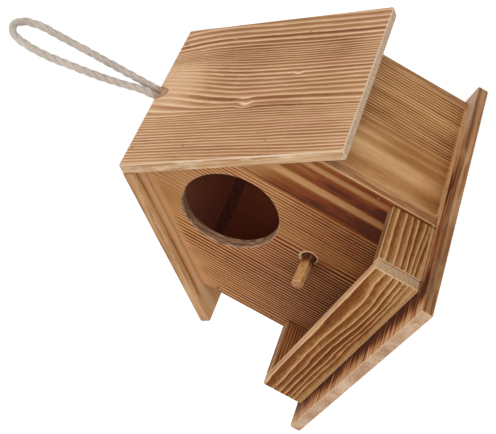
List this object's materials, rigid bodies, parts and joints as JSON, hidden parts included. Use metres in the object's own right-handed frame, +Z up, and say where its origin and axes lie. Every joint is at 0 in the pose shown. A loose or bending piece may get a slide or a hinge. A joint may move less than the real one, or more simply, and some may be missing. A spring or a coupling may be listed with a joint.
{
  "type": "hummingbird house",
  "caption": "Small hanging bird house of scorched softwood boards with a gable roof, a round entrance, a perch, a fenced porch and a rope loop.",
  "frame": {"origin": "under the middle of the outline of roof and floor, at the underside of the floor board", "axes": "+Z up, the front with the entrance and porch looks towards -Y, +X is on the right of someone facing the front"},
  "size_m": [0.1722, 0.1669, 0.2431],
  "materials": {
    "floor_board": "satin",
    "front_plate": "satin",
    "back_plate": "satin",
    "side_wall_right": "satin",
    "side_wall_left": "satin",
    "roof_board_right": "satin",
    "roof_board_left": "satin",
    "fence_front": "satin",
    "fence_right": "satin",
    "fence_left": "satin",
    "perch_dowel": "satin",
    "rope": "matte",
    "pin": "satin"
  },
  "bodies": {
    "root": {"back_plate": "back_plate", "fence_front": "fence_front", "fence_left": "fence_left", "fence_right": "fence_right", "floor_board": "floor_board", "front_plate": "front_plate", "hanging_rope": "rope", "perch_dowel": "perch_dowel", "pin_back_plate_1": "pin", "pin_back_plate_2": "pin", "pin_back_plate_3": "pin", "pin_back_plate_4": "pin", "pin_fence_1": "pin", "pin_fence_2": "pin", "pin_fence_3": "pin", "pin_fence_4": "pin", "pin_floor_1": "pin", "pin_floor_2": "pin", "pin_floor_3": "pin", "pin_floor_4": "pin", "pin_floor_5": "pin", "pin_floor_6": "pin", "pin_floor_7": "pin", "pin_floor_8": "pin", "pin_front_plate_1": "pin", "pin_front_plate_2": "pin", "pin_front_plate_3": "pin", "pin_front_plate_4": "pin", "pin_roof_left_1": "pin", "pin_roof_left_2": "pin", "pin_roof_left_3": "pin", "pin_roof_left_4": "pin", "pin_roof_right_1": "pin", "pin_roof_right_2": "pin", "pin_roof_right_3": "pin", "pin_roof_right_4": "pin", "pin_roof_right_5": "pin", "pin_roof_right_6": "pin", "roof_board_left": "roof_board_left", "roof_board_right": "roof_board_right", "rope_knot": "rope", "side_wall_left": "side_wall_left", "side_wall_right": "side_wall_right"}
  },
  "joints": []
}
